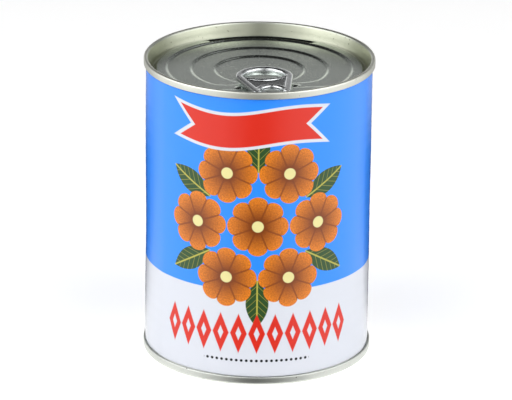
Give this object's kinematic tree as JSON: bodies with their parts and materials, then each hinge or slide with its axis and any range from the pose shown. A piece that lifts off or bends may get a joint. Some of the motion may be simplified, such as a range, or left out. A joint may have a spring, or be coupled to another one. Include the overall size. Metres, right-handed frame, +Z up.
{
  "type": "ring-pull food tin",
  "caption": "Full cylindrical food tin with folded seams, a paper label and an easy-open end whose riveted ring pull lifts on its tongue.",
  "frame": {"origin": "middle of the base ring, on the surface the tin stands on", "axes": "+Z up along the tin's axis, -Y out of the middle of the label's front, +X to the right of the front"},
  "size_m": [0.0872, 0.0872, 0.1159],
  "materials": {
    "tinplate": "satin",
    "tab_steel": "bright satin",
    "label_paper": "semi-gloss print, blue above a white band",
    "compound": "matte",
    "fruit": "wet, translucent",
    "syrup": "clear liquid"
  },
  "bodies": {
    "tin": {"can_body": "tinplate", "bottom_end": "tinplate", "top_end": "tinplate", "bottom_compound": "compound", "top_compound": "compound", "tab_tongue": "tab_steel", "paper_label": "label_paper", "peeled_fruit": "fruit", "syrup": "syrup"},
    "ring_pull": {"pull_tab": "tab_steel"}
  },
  "joints": [
    {"name": "tab_lift", "type": "hinge", "parent": "tin", "child": "ring_pull", "pos_m": [0.00526, -0.03672, 0.11295], "axis": [0.9866, 0.1633, 0], "range_deg": [0, 90]}
  ]
}
